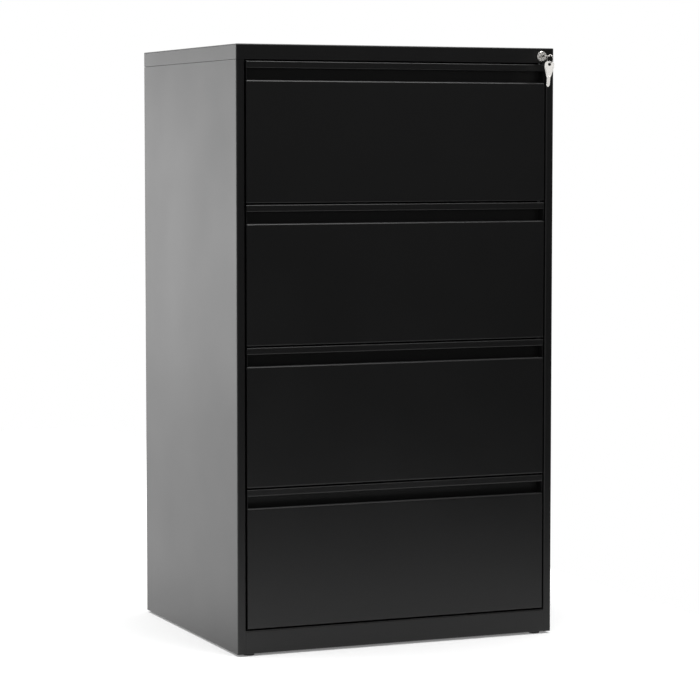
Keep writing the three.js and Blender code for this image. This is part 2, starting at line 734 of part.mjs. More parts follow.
for (const [place, position] of Object.entries(footPlaces())) {
  add(`foot_${place}`, foot(position), PLASTIC);
}

const slides = slideOutlines();
for (const drawer of drawers) {
  add(`${drawer.name}_front`, drawerFront(drawer), PAINT);
  add(`${drawer.name}_tray`, drawerTray(drawer), PAINT);
  add(`${drawer.name}_hanging_rail`, hangingRail(drawer), PAINT);
  addPair(`${drawer.name}_slide_outer`, slideMember(drawer, slides.outer, 0), ZINC);
  addPair(`${drawer.name}_slide_middle`, slideMember(drawer, slides.middle, MIDDLE_INSET), ZINC);
  addPair(`${drawer.name}_slide_inner`, slideMember(drawer, slides.inner, 0), ZINC);
}

add("lock_body", lockBody(), NICKEL);
add("lock_plug", lockPlug(), NICKEL);
add("locking_bar", lockingBar(), STEEL);
add("locking_yoke", lockingYoke(), STEEL);
drawers.forEach((drawer) => add(`${drawer.name}_locking_hook`, lockingHook(drawer), STEEL));
add("key", insertedKey(), NICKEL);
add("key_ring", keyRing(), NICKEL);

export default cabinet;
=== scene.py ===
"""The looks of a black steel filing cabinet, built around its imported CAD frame, in metres.

Z is up and the drawers open towards -Y. Places and outer sizes are read from the frame's boxes.
The sizes that no box gives are named below.
"""

import json
import math

import bmesh
import bpy
from mathutils import Matrix, Vector


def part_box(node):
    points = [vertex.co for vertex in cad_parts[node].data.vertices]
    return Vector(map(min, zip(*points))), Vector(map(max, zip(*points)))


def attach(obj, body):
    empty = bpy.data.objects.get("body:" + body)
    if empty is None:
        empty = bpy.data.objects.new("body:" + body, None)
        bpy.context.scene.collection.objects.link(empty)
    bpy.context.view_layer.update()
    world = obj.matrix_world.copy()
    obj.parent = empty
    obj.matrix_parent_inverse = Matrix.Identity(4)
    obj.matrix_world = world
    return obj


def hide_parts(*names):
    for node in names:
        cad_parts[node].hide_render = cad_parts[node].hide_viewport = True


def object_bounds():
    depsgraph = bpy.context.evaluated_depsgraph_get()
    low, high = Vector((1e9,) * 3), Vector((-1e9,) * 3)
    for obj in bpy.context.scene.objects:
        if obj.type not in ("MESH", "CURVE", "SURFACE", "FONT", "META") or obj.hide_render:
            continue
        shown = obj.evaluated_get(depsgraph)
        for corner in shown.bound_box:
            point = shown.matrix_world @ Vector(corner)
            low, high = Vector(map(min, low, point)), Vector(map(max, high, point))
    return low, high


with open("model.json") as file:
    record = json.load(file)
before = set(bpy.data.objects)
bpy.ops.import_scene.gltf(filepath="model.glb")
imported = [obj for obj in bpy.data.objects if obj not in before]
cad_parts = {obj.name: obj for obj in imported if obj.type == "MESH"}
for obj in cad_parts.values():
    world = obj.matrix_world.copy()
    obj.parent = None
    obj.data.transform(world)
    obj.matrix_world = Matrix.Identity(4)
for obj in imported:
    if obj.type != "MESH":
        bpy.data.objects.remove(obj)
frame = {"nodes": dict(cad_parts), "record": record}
NODES = frame["nodes"]
CAD_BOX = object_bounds()

MM = 0.001
DRAWER_COUNT = 4

# Camera, at the photograph's place and angle
CAMERA_PLACE = (-2.366, -5.641, 1.101)
CAMERA_YAW = 22.785  # degrees, clockwise from straight ahead
CAMERA_PITCH = -4.352  # degrees above level
CAMERA_LENS = 137.42  # millimetres
SENSOR_WIDTH = 36.0  # millimetres

# Floor
FLOOR_X = (-5.0, 0.8)
FLOOR_Y = (-1.1, 4.4)
FLOOR_COLOUR = (0.86, 0.86, 0.86, 1)
FLOOR_GLOW = 0.18
FLOOR_GLOW_MIRRORED = 0.7  # behind the front of the cabinet
GLOW_RISES = (-0.3, 0.3)  # the stretch of Y between the two

# World: its brightness in reflections, and the stretch of the ray's X or Y over which it fades
WHITE = (1, 1, 1, 1)
SOFT_LIGHT = 0.75  # the same all round, outside reflections
STUDIO_FRONT = 0.22
STUDIO_FRONT_FADES = (-0.2, 0.5)
STUDIO_BACK = 1.0
STUDIO_BACK_FADES = (-0.35, 0.25)
STUDIO_LEFT = 0.9
STUDIO_LEFT_FADES = (-0.9, -0.7)

# Lamps
SIDE_BOX_SIZE = (3.6, 1.7)
SIDE_BOX_PLACE = (-2.6, 4.6, 0.87)
SIDE_BOX_RADIANCE = 2.1
TOP_BOX_SIZE = (2.4, 2.4)
TOP_BOX_PLACE = (-1.6, 1.2, 3.3)
TOP_BOX_RADIANCE = 3.6
FRONT_BOX_SIZE = (2.4, 1.6)
FRONT_BOX_PLACE = (0.9, -1.2, 4.6)
FRONT_BOX_RADIANCE = 9.0
KEY_BOX_SIZE = (1.6, 2.2)
KEY_BOX_PLACE = (-2.97, -4.72, 1.5)
KEY_BOX_RADIANCE = 0.85
LOCK_BOX_SIZE = (0.5, 0.5)
LOCK_BOX_PLACE = (2.28, -4.9, 1.45)
LOCK_BOX_RADIANCE = 2.0

# Nodes
MIX_SOCKETS = {"FLOAT": (2, 3, 0), "RGBA": (6, 7, 2)}  # the two inputs and the output
NOISE_RANGE = (0.3, 0.7)  # where most of a noise's values lie
CLOUD_DETAIL = 3.0

# Paint
PAINT_DARK = (0.0028, 0.0028, 0.0029, 1)
PAINT_PALE = (0.0042, 0.0042, 0.0043, 1)
# Paler paint along sharp edges: rubbed paint, and a painted highlight that makes the edges read
PAINT_WORN_AND_HIGHLIT = (0.030, 0.030, 0.031, 1)
PAINT_SHINE = 0.4
PAINT_ROUGHNESS = (0.385, 0.415)
PAINT_CLOUD_SCALE = 5.0
ORANGE_PEEL_SIZE = 1.6 * MM
ORANGE_PEEL_DEPTH = 0.012 * MM
ORANGE_PEEL_DETAIL = 1.5
# Where and how much the edges turn paler, for rubbed paint and a painted highlight
EDGE_WEAR_AND_HIGHLIGHT_WIDTH = 0.9 * MM
EDGE_WEAR_AND_HIGHLIGHT_MOST = 0.8
EDGE_WEAR_AND_HIGHLIGHT_SCALE = 60.0
EDGE_WEAR_AND_HIGHLIGHT_DETAIL = 5.0
EDGE_LIKENESS = (0.75, 0.99)  # of the rounded to the flat normal, from an edge to a flat surface
EDGE_SAMPLES = 4

# Metals
METAL_LINE_DEPTH = 0.01 * MM
METAL_LINE_STRENGTH = 0.4
METAL_LINE_DETAIL = 4.0
METAL_CLOUD_SCALE = 40.0
METAL_ROUGHNESS_RANGE = (0.75, 1.3)  # times the metal's own roughness
METALS = {
    "zinc_plated_steel": {
        "dark": (0.50, 0.52, 0.54, 1),
        "pale": (0.62, 0.64, 0.66, 1),
        "roughness": 0.32,
        "line_stretch": (1, 0.02, 1),
        "line_scale": 900.0,
    },
    "nickel_plate": {
        "dark": (0.74, 0.72, 0.69, 1),
        "pale": (0.82, 0.80, 0.77, 1),
        "roughness": 0.16,
        "line_stretch": (1, 0.05, 1),
        "line_scale": 1200.0,
    },
    "bare_steel": {
        "dark": (0.33, 0.34, 0.35, 1),
        "pale": (0.45, 0.45, 0.46, 1),
        "roughness": 0.4,
        "line_stretch": (1, 1, 0.03),
        "line_scale": 700.0,
    },
}

# Plastic
PLASTIC_DARK = (0.009, 0.009, 0.009, 1)
PLASTIC_PALE = (0.017, 0.017, 0.017, 1)
PLASTIC_ROUGHNESS = 0.55
PLASTIC_CLOUD_SCALE = 90.0
PLASTIC_GRAIN_SCALE = 1500.0
PLASTIC_GRAIN_DETAIL = 2.0
PLASTIC_GRAIN_DEPTH = 0.04 * MM

# Softened edges
PANEL_EDGE = 0.35 * MM
METAL_EDGE = 0.2 * MM
KEY_EDGE = 0.09 * MM
EDGE_SEGMENTS = 2
SMOOTH_ANGLE = 32.0  # degrees

# Meshes of the added pieces
ARC_STEPS = 6
DOME_STEPS = 4
BALL_SUBDIVISIONS = 2
MERGE_DISTANCE = 0.001 * MM

# Keys, which match the frame's own key
KEY_BOW_LENGTH = 35 * MM
KEY_BOW_CORNER = 7 * MM
KEY_BOW_STRAIGHT = 13 * MM
KEY_NECK_WIDTH = 9 * MM
KEY_BLADE_WIDTH = 7.5 * MM
KEY_TIP_WIDTH = 3 * MM
KEY_HOLE_RADIUS = 3.5 * MM
KEY_HOLE_INSET = 6.5 * MM
KEY_HOLE_STEPS = 24
KEY_CUTS = 4
KEY_CUT_DEPTH = 1.3 * MM
KEY_CUT_REACH = 1 / 3  # of the pitch of the cuts, on either side of each
KEY_RELIEF = 0.3 * MM
KEY_RELIEF_SLOPE = 0.2 * MM
KEY_RIM = 2.5 * MM
KEY_GROOVE_WIDTH = 2 * MM
SPARE_KEY_YAW = 30.0  # degrees
SPARE_KEY_LEAN = 4.0  # degrees

# Split ring, nearly two turns of flat wire in the space of the frame's ring
RING_WIRE = 1.6 * MM
RING_YAW = 15.0  # degrees
RING_TURNS = 1.95
RING_STEPS = 40
RING_SLIT = 0.03 * MM

# Slides
SLIDE_SHEET = 1.2 * MM
BALL_RADIUS = 1.5 * MM
BALL_PITCH = 16 * MM
CAGE_WIDTH = 6.4 * MM
CAGE_THICKNESS = 0.8 * MM
CAGE_MARGIN = 10 * MM

# Threads of the feet
THREAD_RADIUS = 4 * MM
THREAD_DEPTH = 0.25 * MM
THREAD_PITCH = 1.25 * MM
THREAD_WIDTH = 1.1 * MM
THREAD_STEPS = 24
THREAD_END = 1 * MM

# Pressed beads and rivets
SHEET = 1 * MM
BEAD_WIDTH = 16 * MM
BEAD_HEIGHT = 1.2 * MM
BEAD_MARGIN = 45 * MM
FLOOR_BEADS = 3
BACK_BEADS = 3
RIVET_WIDTH = 6 * MM
RIVET_HEIGHT = 0.7 * MM
RIVET_MARGIN = 16 * MM
BACK_RIVETS = 9
BACK_RIVET_INSET = 33 * MM
SLIDE_RIVETS = 4
SLIDE_RIVET_INSET = 30 * MM
SUNK = 0.1 * MM  # how deep a bead or rivet starts below the surface that carries it


# Node helpers

class Nodes:
    """Makes and links the nodes of one material or world."""

    def __init__(self, tree):
        self.tree = tree
        tree.nodes.clear()

    def add(self, kind, inputs=None, **settings):
        node = self.tree.nodes.new(kind)
        for name, value in settings.items():
            setattr(node, name, value)
        for key, value in (inputs or {}).items():
            self.put(value, node.inputs[key])
        return node

    def put(self, value, socket):
        if isinstance(value, bpy.types.NodeSocket):
            self.tree.links.new(value, socket)
        else:
            socket.default_value = value


def new_material(name):
    material = bpy.data.materials.new(name)
    material.use_nodes = True
    return material, Nodes(material.node_tree)


def object_place(nodes):
    return nodes.add("ShaderNodeTexCoord").outputs["Object"]


def noise(nodes, place, scale, detail=CLOUD_DETAIL, stretch=(1, 1, 1)):
    mapping = nodes.add("ShaderNodeMapping", {"Vector": place, "Scale": stretch})
    inputs = {"Vector": mapping.outputs[0], "Scale": scale, "Detail": detail}
    return nodes.add("ShaderNodeTexNoise", inputs).outputs["Fac"]


def spread(nodes, value, low, high, limits=NOISE_RANGE):
    """Goes from low to high as the value goes from the first of its limits to the second."""
    start, stop = limits
    inputs = {"Value": value, "From Min": start, "From Max": stop, "To Min": low, "To Max": high}
    return nodes.add("ShaderNodeMapRange", inputs).outputs[0]


def mix(nodes, kind, factor, low, high):
    """Mixes two numbers or two colours, which have sockets of their own on the node."""
    first, second, result = MIX_SOCKETS[kind]
    node = nodes.add("ShaderNodeMix", {0: factor, first: low, second: high}, data_type=kind)
    return node.outputs[result]


def edge_mask(nodes, width):
    """Goes from 0 on flat surfaces to 1 along edges."""
    rounded = nodes.add("ShaderNodeBevel", {"Radius": width}, samples=EDGE_SAMPLES)
    flat = nodes.add("ShaderNodeNewGeometry")
    pair = {0: rounded.outputs[0], 1: flat.outputs["Normal"]}
    likeness = nodes.add("ShaderNodeVectorMath", pair, operation="DOT_PRODUCT")
    return spread(nodes, likeness.outputs["Value"], 1.0, 0.0, EDGE_LIKENESS)


def surface(nodes, shader):
    output = nodes.add("ShaderNodeOutputMaterial")
    nodes.tree.links.new(shader.outputs[0], output.inputs["Surface"])


# Materials

def black_paint():
    """Semi-gloss powder coat with fine orange peel. It is paler along its edges, partly from rubbed
    paint and partly from a painted highlight.
    """
    material, nodes = new_material("black_paint")
    place = object_place(nodes)
    cloud = noise(nodes, place, PAINT_CLOUD_SCALE)
    peel = noise(nodes, place, 1 / ORANGE_PEEL_SIZE, ORANGE_PEEL_DETAIL)
    # The paler edges are partly rubbed paint and partly a painted highlight
    rubbing_and_sheen = noise(nodes, place, EDGE_WEAR_AND_HIGHLIGHT_SCALE, EDGE_WEAR_AND_HIGHLIGHT_DETAIL)
    rubbed_and_highlit = {0: edge_mask(nodes, EDGE_WEAR_AND_HIGHLIGHT_WIDTH), 1: spread(nodes, rubbing_and_sheen, 0.0, EDGE_WEAR_AND_HIGHLIGHT_MOST)}
    wear_and_highlight = nodes.add("ShaderNodeMath", rubbed_and_highlit, operation="MULTIPLY")
    paint = mix(nodes, "RGBA", cloud, PAINT_DARK, PAINT_PALE)
    colour = mix(nodes, "RGBA", wear_and_highlight.outputs[0], paint, PAINT_WORN_AND_HIGHLIT)
    bump = nodes.add("ShaderNodeBump", {"Height": peel, "Distance": ORANGE_PEEL_DEPTH})
    roughness = spread(nodes, cloud, *PAINT_ROUGHNESS)
    inputs = {"Base Color": colour, "Roughness": roughness, "Normal": bump.outputs[0]}
    inputs["Specular IOR Level"] = PAINT_SHINE
    surface(nodes, nodes.add("ShaderNodeBsdfPrincipled", inputs))
    return material


def plated_metal(name, dark, pale, roughness, line_stretch, line_scale):
    """Metal in a cloud of two shades, with fine lines drawn along one axis."""
    material, nodes = new_material(name)
    place = object_place(nodes)
    lines = noise(nodes, place, line_scale, METAL_LINE_DETAIL, line_stretch)
    cloud = noise(nodes, place, METAL_CLOUD_SCALE)
    tint = mix(nodes, "RGBA", cloud, dark, pale)
    smooth, rough = (roughness * share for share in METAL_ROUGHNESS_RANGE)
    grooves = {"Height": lines, "Distance": METAL_LINE_DEPTH, "Strength": METAL_LINE_STRENGTH}
    bump = nodes.add("ShaderNodeBump", grooves)
    inputs = {"Base Color": tint, "Metallic": 1.0, "Normal": bump.outputs[0]}
    inputs["Roughness"] = spread(nodes, lines, smooth, rough)
    surface(nodes, nodes.add("ShaderNodeBsdfPrincipled", inputs))
    return material


def moulded_plastic():
    """Matt black plastic with a fine moulded grain."""
    material, nodes = new_material("foot_plastic")
    place = object_place(nodes)
    grain = noise(nodes, place, PLASTIC_GRAIN_SCALE, PLASTIC_GRAIN_DETAIL)
    cloud = noise(nodes, place, PLASTIC_CLOUD_SCALE)
    colour = mix(nodes, "RGBA", cloud, PLASTIC_DARK, PLASTIC_PALE)
    bump = nodes.add("ShaderNodeBump", {"Height": grain, "Distance": PLASTIC_GRAIN_DEPTH})
    inputs = {"Base Color": colour, "Roughness": PLASTIC_ROUGHNESS, "Normal": bump.outputs[0]}
    surface(nodes, nodes.add("ShaderNodeBsdfPrincipled", inputs))
    return material


def make_materials():
    """The finishes by the names of the record's material slots."""
    materials = {"black_paint": black_paint(), "foot_plastic": moulded_plastic()}
    for name, looks in METALS.items():
        materials[name] = plated_metal(name, **looks)
    return materials


# The carried-over CAD nodes

def soften(obj, width):
    """Rounds the sharp edges of a node or piece and shades its folds smoothly."""
    bevel = obj.modifiers.new("soft_edges", "BEVEL")
    bevel.width = width
    bevel.segments = EDGE_SEGMENTS
    bevel.limit_method = "ANGLE"
    bevel.angle_limit = math.radians(SMOOTH_ANGLE)
    bevel.use_clamp_overlap = True
    bevel.harden_normals = True
    for polygon in obj.data.polygons:
        polygon.use_smooth = True


def dress_nodes(materials):
    """Gives each node the finish that the record names for it."""
    slots = {part["node"]: part["material_slot"] for part in frame["record"]["subparts"]}
    for name, obj in NODES.items():
        obj.data.materials.clear()
        obj.data.materials.append(materials[slots[name]])
        soften(obj, PANEL_EDGE if slots[name] == "black_paint" else METAL_EDGE)


# Shapes for the added pieces

def arc(centre, radius, start, stop, steps=ARC_STEPS):
    """Points along an arc between two angles in degrees."""
    x, y = centre
    angles = [math.radians(start + (stop - start) * step / steps) for step in range(steps + 1)]
    return [(x + radius * math.cos(angle), y + radius * math.sin(angle)) for angle in angles]


def stadium(length, width):
    """A bar with round ends, along X, as an outline."""
    straight = (length - width) / 2
    return arc((straight, 0), width / 2, -90, 90) + arc((-straight, 0), width / 2, 90, 270)


def rotation(degrees, axis):
    return Matrix.Rotation(math.radians(degrees), 4, axis)


def add_skin(bm, loops):
    """Joins closed loops of vertices with bands of faces, and closes the first and the last loop."""
    for lower, upper in zip(loops, loops[1:]):
        for i in range(len(lower)):
            following = (i + 1) % len(lower)
            bm.faces.new((lower[i], lower[following], upper[following], upper[i]))
    bm.faces.new(loops[0])
    bm.faces.new(loops[-1])


def add_dome(bm, place, length, width, height):
    """A raised bead with round ends, or a rivet head where its length is its width."""
    loops = []
    for step in range(DOME_STEPS):
        angle = math.pi / 2 * step / DOME_STEPS
        inset = width * (1 - math.cos(angle))
        outline = stadium(length - inset, width - inset)
        rise = height * math.sin(angle)
        loops.append([bm.verts.new(place @ Vector((x, y, rise))) for x, y in outline])
    add_skin(bm, loops)


def add_plate(bm, outline, holes, reliefs, thickness):
    """A flat plate with holes, and with shallow reliefs pressed into both of its faces."""
    edges = []
    relief_loops = []
    for loop in (outline, *holes, *reliefs):
        verts = [bm.verts.new((x, y, thickness / 2)) for x, y in loop]
        edges += [bm.edges.new(pair) for pair in zip(verts, verts[1:] + verts[:1])]
        if loop in reliefs:
            relief_loops.append(verts)
    filled = bmesh.ops.triangle_fill(bm, use_beauty=True, edges=edges)
    faces = [item for item in filled["geom"] if isinstance(item, bmesh.types.BMFace)]
    faces += [bm.faces.new(verts) for verts in relief_loops]
    doubled = bmesh.ops.extrude_face_region(bm, geom=faces, use_keep_orig=True)
    below = [item for item in doubled["geom"] if isinstance(item, bmesh.types.BMVert)]
    bmesh.ops.translate(bm, verts=below, vec=(0, 0, -thickness))
    bmesh.ops.recalc_face_normals(bm, faces=bm.faces)
    # All the other faces have three or four corners.
    pressed = [face for face in bm.faces if len(face.verts) > 4]
    bmesh.ops.inset_region(
        bm, faces=pressed, thickness=KEY_RELIEF_SLOPE, depth=-KEY_RELIEF, use_even_offset=True
    )


def add_coil(bm, section, turns, steps, pitch):
    """Winds a section, given as distances from Z and heights, about Z and closes both ends."""
    loops = []
    count = round(turns * steps)
    for step in range(count + 1):
        angle = 2 * math.pi * step / steps
        around = Vector((math.cos(angle), math.sin(angle), 0))
        rise = pitch * (step / steps - turns / 2)
        loops.append([bm.verts.new(around * a + Vector((0, 0, rise + b))) for a, b in section])
    add_skin(bm, loops)


def make_piece(name, bm, body, slot, materials, edge=0.0):
    """Turns a mesh into a piece that rides on a body, with its edges rounded where a width is given."""
    bmesh.ops.remove_doubles(bm, verts=bm.verts, dist=MERGE_DISTANCE)
    bmesh.ops.recalc_face_normals(bm, faces=bm.faces)
    mesh = bpy.data.meshes.new(name)
    bm.to_mesh(mesh)
    bm.free()
    mesh.materials.append(materials[slot])
    piece = bpy.data.objects.new(name, mesh)
    bpy.context.scene.collection.objects.link(piece)
    mesh.shade_smooth()
    mesh.set_sharp_from_angle(angle=math.radians(SMOOTH_ANGLE))
    if edge:
        soften(piece, edge)
    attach(piece, body)
    return piece


def middle_of(box):
    return (box[0] + box[1]) / 2


# Keys and their ring

def key_outline(length, width):
    """Half a key's width lies on either side of the Y axis, with the end of the bow at y = 0."""
    bow = width / 2
    blade = KEY_BLADE_WIDTH / 2
    tip_start = length - blade
    pitch = (tip_start - KEY_BOW_LENGTH) / (KEY_CUTS + 1)
    head = arc((KEY_BOW_CORNER - bow, KEY_BOW_CORNER), KEY_BOW_CORNER, 270, 180)
    head.append((-bow, KEY_BOW_STRAIGHT))
    head.append((-KEY_NECK_WIDTH / 2, KEY_BOW_LENGTH))
    head.append((-blade, KEY_BOW_LENGTH))
    tip = [(-blade, tip_start), (-KEY_TIP_WIDTH / 2, length)]
    cuts = []
    for number in range(1, KEY_CUTS + 1):
        bottom = KEY_BOW_LENGTH + number * pitch
        reach = pitch * KEY_CUT_REACH
        cuts += [(-blade, bottom - reach), (KEY_CUT_DEPTH - blade, bottom), (-blade, bottom + reach)]
    right = [(-x, y) for x, y in reversed(head + tip)]
    return head + cuts + tip + right


def bow_relief(width):
    """The pressed panel between the hole and the neck."""
    wide = width / 2 - KEY_RIM
    narrow = KEY_NECK_WIDTH / 2 - KEY_RIM / 2
    start = KEY_HOLE_INSET + KEY_HOLE_RADIUS + KEY_RIM
    end = KEY_BOW_LENGTH - KEY_RIM
    left = [(KEY_RIM - wide, start), (-wide, start + KEY_RIM), (-narrow, end)]
    return left + [(-x, y) for x, y in reversed(left)]


def blade_groove(length):
    """The groove along the blade, which stops a rim short of the tip."""
    groove = length - KEY_BOW_LENGTH - KEY_RIM
    middle = (length + KEY_BOW_LENGTH) / 2 - KEY_RIM / 2
    return [(-y, middle + x) for x, y in stadium(groove, KEY_GROOVE_WIDTH)[:-1]]


def add_key(bm):
    """A key that lies flat along Y, in the size of the frame's key."""
    width, length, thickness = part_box("key")[1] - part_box("key")[0]
    last = 360 - 360 / KEY_HOLE_STEPS
    hole = arc((0, KEY_HOLE_INSET), KEY_HOLE_RADIUS, 0, last, KEY_HOLE_STEPS - 1)
    reliefs = [bow_relief(width), blade_groove(length)]
    add_plate(bm, key_outline(length, width), [hole], reliefs, thickness)


def make_keys(materials):
    """The key in the lock, and a spare one that hangs from the ring."""
    low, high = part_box("key")
    middle = middle_of((low, high))
    in_lock = bmesh.new()
    add_key(in_lock)
    in_lock.transform(Matrix.Translation((middle.x, low.y, middle.z)))
    key = make_piece("key_in_lock", in_lock, "key", "nickel_plate", materials, KEY_EDGE)
    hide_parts("key")

    ring = middle_of(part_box("key_ring"))
    ring_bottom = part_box("key_ring")[0].z + RING_WIRE
    bow_end = ring_bottom + KEY_HOLE_INSET - KEY_HOLE_RADIUS
    spare = bmesh.new()
    add_key(spare)
    hanging = rotation(-SPARE_KEY_YAW, "Z") @ rotation(SPARE_KEY_LEAN, "Y") @ rotation(-90, "X")
    spare.transform(Matrix.Translation((ring.x, ring.y, bow_end)) @ hanging)
    make_piece("spare_key", spare, "key_ring", "nickel_plate", materials, KEY_EDGE)


def make_split_ring(materials):
    """A coil of flat wire whose leaves and slits together are as thick as the frame's ring."""
    low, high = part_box("key_ring")
    radius = (high.z - low.z - RING_WIRE) / 2
    leaf = (RING_WIRE - RING_TURNS * RING_SLIT) / (RING_TURNS + 1)
    section = [(radius + a, b) for a, b in stadium(RING_WIRE, leaf)]
    bm = bmesh.new()
    add_coil(bm, section, RING_TURNS, RING_STEPS, leaf + RING_SLIT)
    upright = rotation(RING_YAW - 90, "Z") @ rotation(90, "X")
    bm.transform(Matrix.Translation(middle_of((low, high))) @ upright)
    ring = make_piece("split_ring", bm, "key_ring", "nickel_plate", materials)
    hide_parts("key_ring")


# Ball bearings in the slides

def add_strip(bm, x, y_range, z):
    """A flat ball cage along Y with rounded ends."""
    length = y_range[1] - y_range[0]
    middle = Vector((x, sum(y_range) / 2, z - CAGE_THICKNESS / 2))
    place = Matrix.Translation(middle) @ rotation(90, "Z")
    outline = stadium(length, CAGE_WIDTH)
    loops = []
    for height in (0.0, CAGE_THICKNESS):
        loops.append([bm.verts.new(place @ Vector((a, b, height))) for a, b in outline])
    add_skin(bm, loops)


def raceways(number, side):
    """The four rows of balls that ride with a slide's middle member: X, stretch of Y and Z of each."""
    members = ("outer", "middle", "inner")
    outer, middle, inner = (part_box(f"drawer_{number}_slide_{member}_{side}") for member in members)
    centre = middle_of(middle)
    halves = [(box[1].z - box[0].z) / 2 for box in (outer, middle, inner)]
    front = (middle[0].y + CAGE_MARGIN, centre.y - CAGE_MARGIN)
    back = (centre.y + CAGE_MARGIN, middle[1].y - CAGE_MARGIN)
    outside = (halves[0] - SLIDE_SHEET + halves[1]) / 2
    inside = (halves[1] - SLIDE_SHEET + halves[2]) / 2
    rows = []
    for sign in (-1, 1):
        rows.append((centre.x, back, centre.z + sign * outside))
        rows.append((centre.x, front, centre.z + sign * inside))
    return rows


def make_bearings(number, materials):
    """The balls of a drawer's two slides and the cages that hold them."""
    cages = bmesh.new()
    balls = bmesh.new()
    for side in ("right", "left"):
        for x, y_range, z in raceways(number, side):
            add_strip(cages, x, y_range, z)
            y = y_range[0] + BALL_PITCH / 2
            while y < y_range[1]:
                place = Matrix.Translation((x, y, z))
                bmesh.ops.create_icosphere(
                    balls, subdivisions=BALL_SUBDIVISIONS, radius=BALL_RADIUS, matrix=place
                )
                y += BALL_PITCH
    body = f"drawer_{number}_middle"
    make_piece(f"drawer_{number}_ball_cages", cages, body, "zinc_plated_steel", materials)
    make_piece(f"drawer_{number}_balls", balls, body, "bare_steel", materials)


# Pressed beads, rivets and threads

def make_floor_beads(number, materials):
    """Stiffening beads along the tray's floor, on either side of the hanging rail."""
    low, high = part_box(f"drawer_{number}_tray")
    length = high.y - low.y - 2 * BEAD_MARGIN
    middle = (low.y + high.y) / 2
    half = -low.x  # on the right the box also holds the lock's striker
    along = rotation(90, "Z")
    bm = bmesh.new()
    for side in (-1, 1):
        for bead in range(FLOOR_BEADS):
            x = side * half * (bead + 0.5) / FLOOR_BEADS
            place = Matrix.Translation((x, middle, low.z + SHEET - SUNK)) @ along
            add_dome(bm, place, length, BEAD_WIDTH, BEAD_HEIGHT)
    body = f"drawer_{number}"
    make_piece(f"{body}_floor_beads", bm, body, "black_paint", materials)


def spaced(start, stop, count):
    """Evenly spaced places from start to stop."""
    return [start + (stop - start) * i / (count - 1) for i in range(count)]


def make_slide_rivets(number, materials):
    """The rivet heads inside the tray that hold its slides."""
    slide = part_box(f"drawer_{number}_slide_inner_left")
    hem = -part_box(f"drawer_{number}_tray")[0].x
    wall = hem - 2 * SHEET  # the hem's sheet and the wall's own
    height = middle_of(slide).z
    start = slide[0].y + SLIDE_RIVET_INSET
    stop = slide[1].y - SLIDE_RIVET_INSET
    bm = bmesh.new()
    for side in (-1, 1):
        face_in = rotation(-90 * side, "Y")
        for y in spaced(start, stop, SLIDE_RIVETS):
            place = Matrix.Translation((side * (wall + SUNK), y, height)) @ face_in
            add_dome(bm, place, RIVET_WIDTH, RIVET_WIDTH, RIVET_HEIGHT)
    body = f"drawer_{number}"
    make_piece(f"{body}_slide_rivets", bm, body, "zinc_plated_steel", materials)


def make_threads(materials):
    """The screw threads on the stems of the feet."""
    section = [
        (THREAD_RADIUS - THREAD_DEPTH, -THREAD_WIDTH / 2),
        (THREAD_RADIUS + THREAD_DEPTH, 0),
        (THREAD_RADIUS - THREAD_DEPTH, THREAD_WIDTH / 2),
    ]
    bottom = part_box("bottom_panel")[0].z + THREAD_END
    for name in NODES:
        if not name.startswith("foot_"):
            continue
        low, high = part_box(name)
        top = high.z - THREAD_END
        turns = (top - bottom) / THREAD_PITCH - 1
        bm = bmesh.new()
        add_coil(bm, section, turns, THREAD_STEPS, THREAD_PITCH)
        centre = middle_of((low, high))
        bm.transform(Matrix.Translation((centre.x, centre.y, (bottom + top) / 2)))
        make_piece(f"{name}_thread", bm, name, "zinc_plated_steel", materials)


def make_back_details(materials):
    """Pressed beads down the back panel, and rivets along its two sides."""
    low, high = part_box("back_panel")
    face_out = rotation(-90, "X")
    upright = face_out @ rotation(90, "Z")
    y = high.y - SUNK
    bottom = low.z + RIVET_MARGIN
    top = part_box("side_panel_left")[1].z - RIVET_MARGIN
    beads = bmesh.new()
    for number in range(BACK_BEADS):
        x = low.x + (high.x - low.x) * (number + 0.5) / BACK_BEADS
        place = Matrix.Translation((x, y, (bottom + top) / 2)) @ upright
        add_dome(beads, place, top - bottom - 2 * BEAD_MARGIN, BEAD_WIDTH, BEAD_HEIGHT)
    make_piece("back_panel_beads", beads, "case", "black_paint", materials)
    rivets = bmesh.new()
    for x in (low.x + BACK_RIVET_INSET, high.x - BACK_RIVET_INSET):
        for z in spaced(bottom, top, BACK_RIVETS):
            place = Matrix.Translation((x, y, z)) @ face_out
            add_dome(rivets, place, RIVET_WIDTH, RIVET_WIDTH, RIVET_HEIGHT)
    make_piece("back_panel_rivets", rivets, "case", "black_paint", materials)


# Studio

def make_camera():
    data = bpy.data.cameras.new("camera")
    data.lens = CAMERA_LENS
    data.sensor_width = SENSOR_WIDTH
    camera = bpy.data.objects.new("camera", data)
    camera.location = CAMERA_PLACE
    camera.rotation_euler = (math.radians(90 + CAMERA_PITCH), 0, math.radians(-CAMERA_YAW))
    bpy.context.scene.collection.objects.link(camera)
    bpy.context.scene.camera = camera


def larger(nodes, first, second):
    return nodes.add("ShaderNodeMath", {0: first, 1: second}, operation="MAXIMUM").outputs[0]


def ray_kinds(nodes):
    """Whether the camera sees a thing directly, and whether in a reflection or through glass: 1 or 0."""
    path = nodes.add("ShaderNodeLightPath")
    mirrored = larger(nodes, path.outputs["Is Glossy Ray"], path.outputs["Is Transmission Ray"])
    return path.outputs["Is Camera Ray"], mirrored


